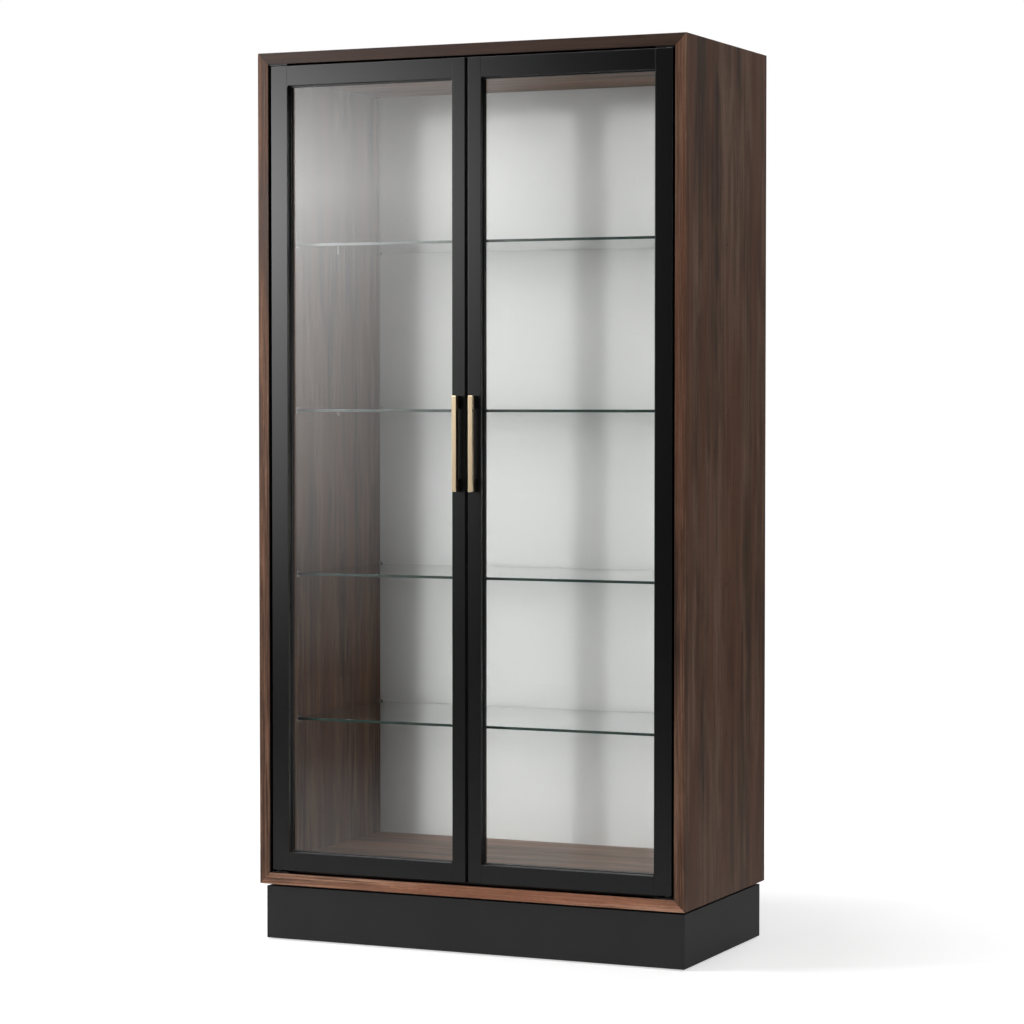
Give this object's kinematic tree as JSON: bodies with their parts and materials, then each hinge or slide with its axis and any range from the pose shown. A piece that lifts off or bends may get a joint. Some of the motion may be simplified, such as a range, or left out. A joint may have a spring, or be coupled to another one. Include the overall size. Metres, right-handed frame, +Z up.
{
  "type": "china cabinet",
  "caption": "Tall china cabinet: walnut surround and inner case, glass shelves on clamp supports, two framed glass doors on pivots with flat bar handles, recessed black plinth.",
  "frame": {"origin": "on the floor, under the middle of the box around the closed cabinet, handles included", "axes": "+Z up, -Y out of the doors towards the user, +X to the right of someone facing the doors"},
  "size_m": [1, 0.511, 1.943],
  "materials": {
    "walnut": "satin walnut veneer",
    "back_paint": "off-white painted board",
    "black_lacquer": "satin black lacquer",
    "door_glass": "clear polished",
    "shelf_glass": "clear, pale green edges",
    "glazing_bead": "black, matte",
    "brass": "brushed champagne brass",
    "handle_post": "satin black",
    "clear_plastic": "clear, moulded",
    "pivot_steel": "zinc-plated steel",
    "black_plastic": "black, matte"
  },
  "bodies": {
    "cabinet": {"back_panel": "back_paint", "bottom_panel": "walnut", "foot_front_left": "black_plastic", "foot_front_right": "black_plastic", "foot_rear_left": "black_plastic", "foot_rear_right": "black_plastic", "inner_bottom_panel": "walnut", "inner_left_panel": "walnut", "inner_right_panel": "walnut", "inner_top_panel": "walnut", "left_door_bottom_pivot": "pivot_steel", "left_door_top_pivot": "pivot_steel", "left_side_panel": "walnut", "plinth_back_board": "black_lacquer", "plinth_front_board": "black_lacquer", "plinth_left_board": "black_lacquer", "plinth_neck_board": "black_lacquer", "plinth_right_board": "black_lacquer", "right_door_bottom_pivot": "pivot_steel", "right_door_top_pivot": "pivot_steel", "right_side_panel": "walnut", "shelf_1": "shelf_glass", "shelf_1_support_front_left": "clear_plastic", "shelf_1_support_front_right": "clear_plastic", "shelf_1_support_rear_left": "clear_plastic", "shelf_1_support_rear_right": "clear_plastic", "shelf_2": "shelf_glass", "shelf_2_support_front_left": "clear_plastic", "shelf_2_support_front_right": "clear_plastic", "shelf_2_support_rear_left": "clear_plastic", "shelf_2_support_rear_right": "clear_plastic", "shelf_3": "shelf_glass", "shelf_3_support_front_left": "clear_plastic", "shelf_3_support_front_right": "clear_plastic", "shelf_3_support_rear_left": "clear_plastic", "shelf_3_support_rear_right": "clear_plastic", "shelf_4": "shelf_glass", "shelf_4_support_front_left": "clear_plastic", "shelf_4_support_front_right": "clear_plastic", "shelf_4_support_rear_left": "clear_plastic", "shelf_4_support_rear_right": "clear_plastic", "top_panel": "walnut"},
    "left_door": {"left_door_bottom_rail": "black_lacquer", "left_door_glass": "door_glass", "left_door_glazing_bead": "glazing_bead", "left_door_hinge_stile": "black_lacquer", "left_door_meeting_stile": "black_lacquer", "left_door_top_rail": "black_lacquer", "left_handle_bar": "brass", "left_handle_post_lower": "handle_post", "left_handle_post_upper": "handle_post"},
    "right_door": {"right_door_bottom_rail": "black_lacquer", "right_door_glass": "door_glass", "right_door_glazing_bead": "glazing_bead", "right_door_hinge_stile": "black_lacquer", "right_door_meeting_stile": "black_lacquer", "right_door_top_rail": "black_lacquer", "right_handle_bar": "brass", "right_handle_post_lower": "handle_post", "right_handle_post_upper": "handle_post"}
  },
  "joints": [
    {"name": "left_door_hinge", "type": "hinge", "parent": "cabinet", "child": "left_door", "pos_m": [-0.458, -0.2225, 0.157], "axis": [0, 0, -1], "range_deg": [0, 110]},
    {"name": "right_door_hinge", "type": "hinge", "parent": "cabinet", "child": "right_door", "pos_m": [0.458, -0.2225, 0.157], "axis": [0, 0, 1], "range_deg": [0, 110]}
  ]
}
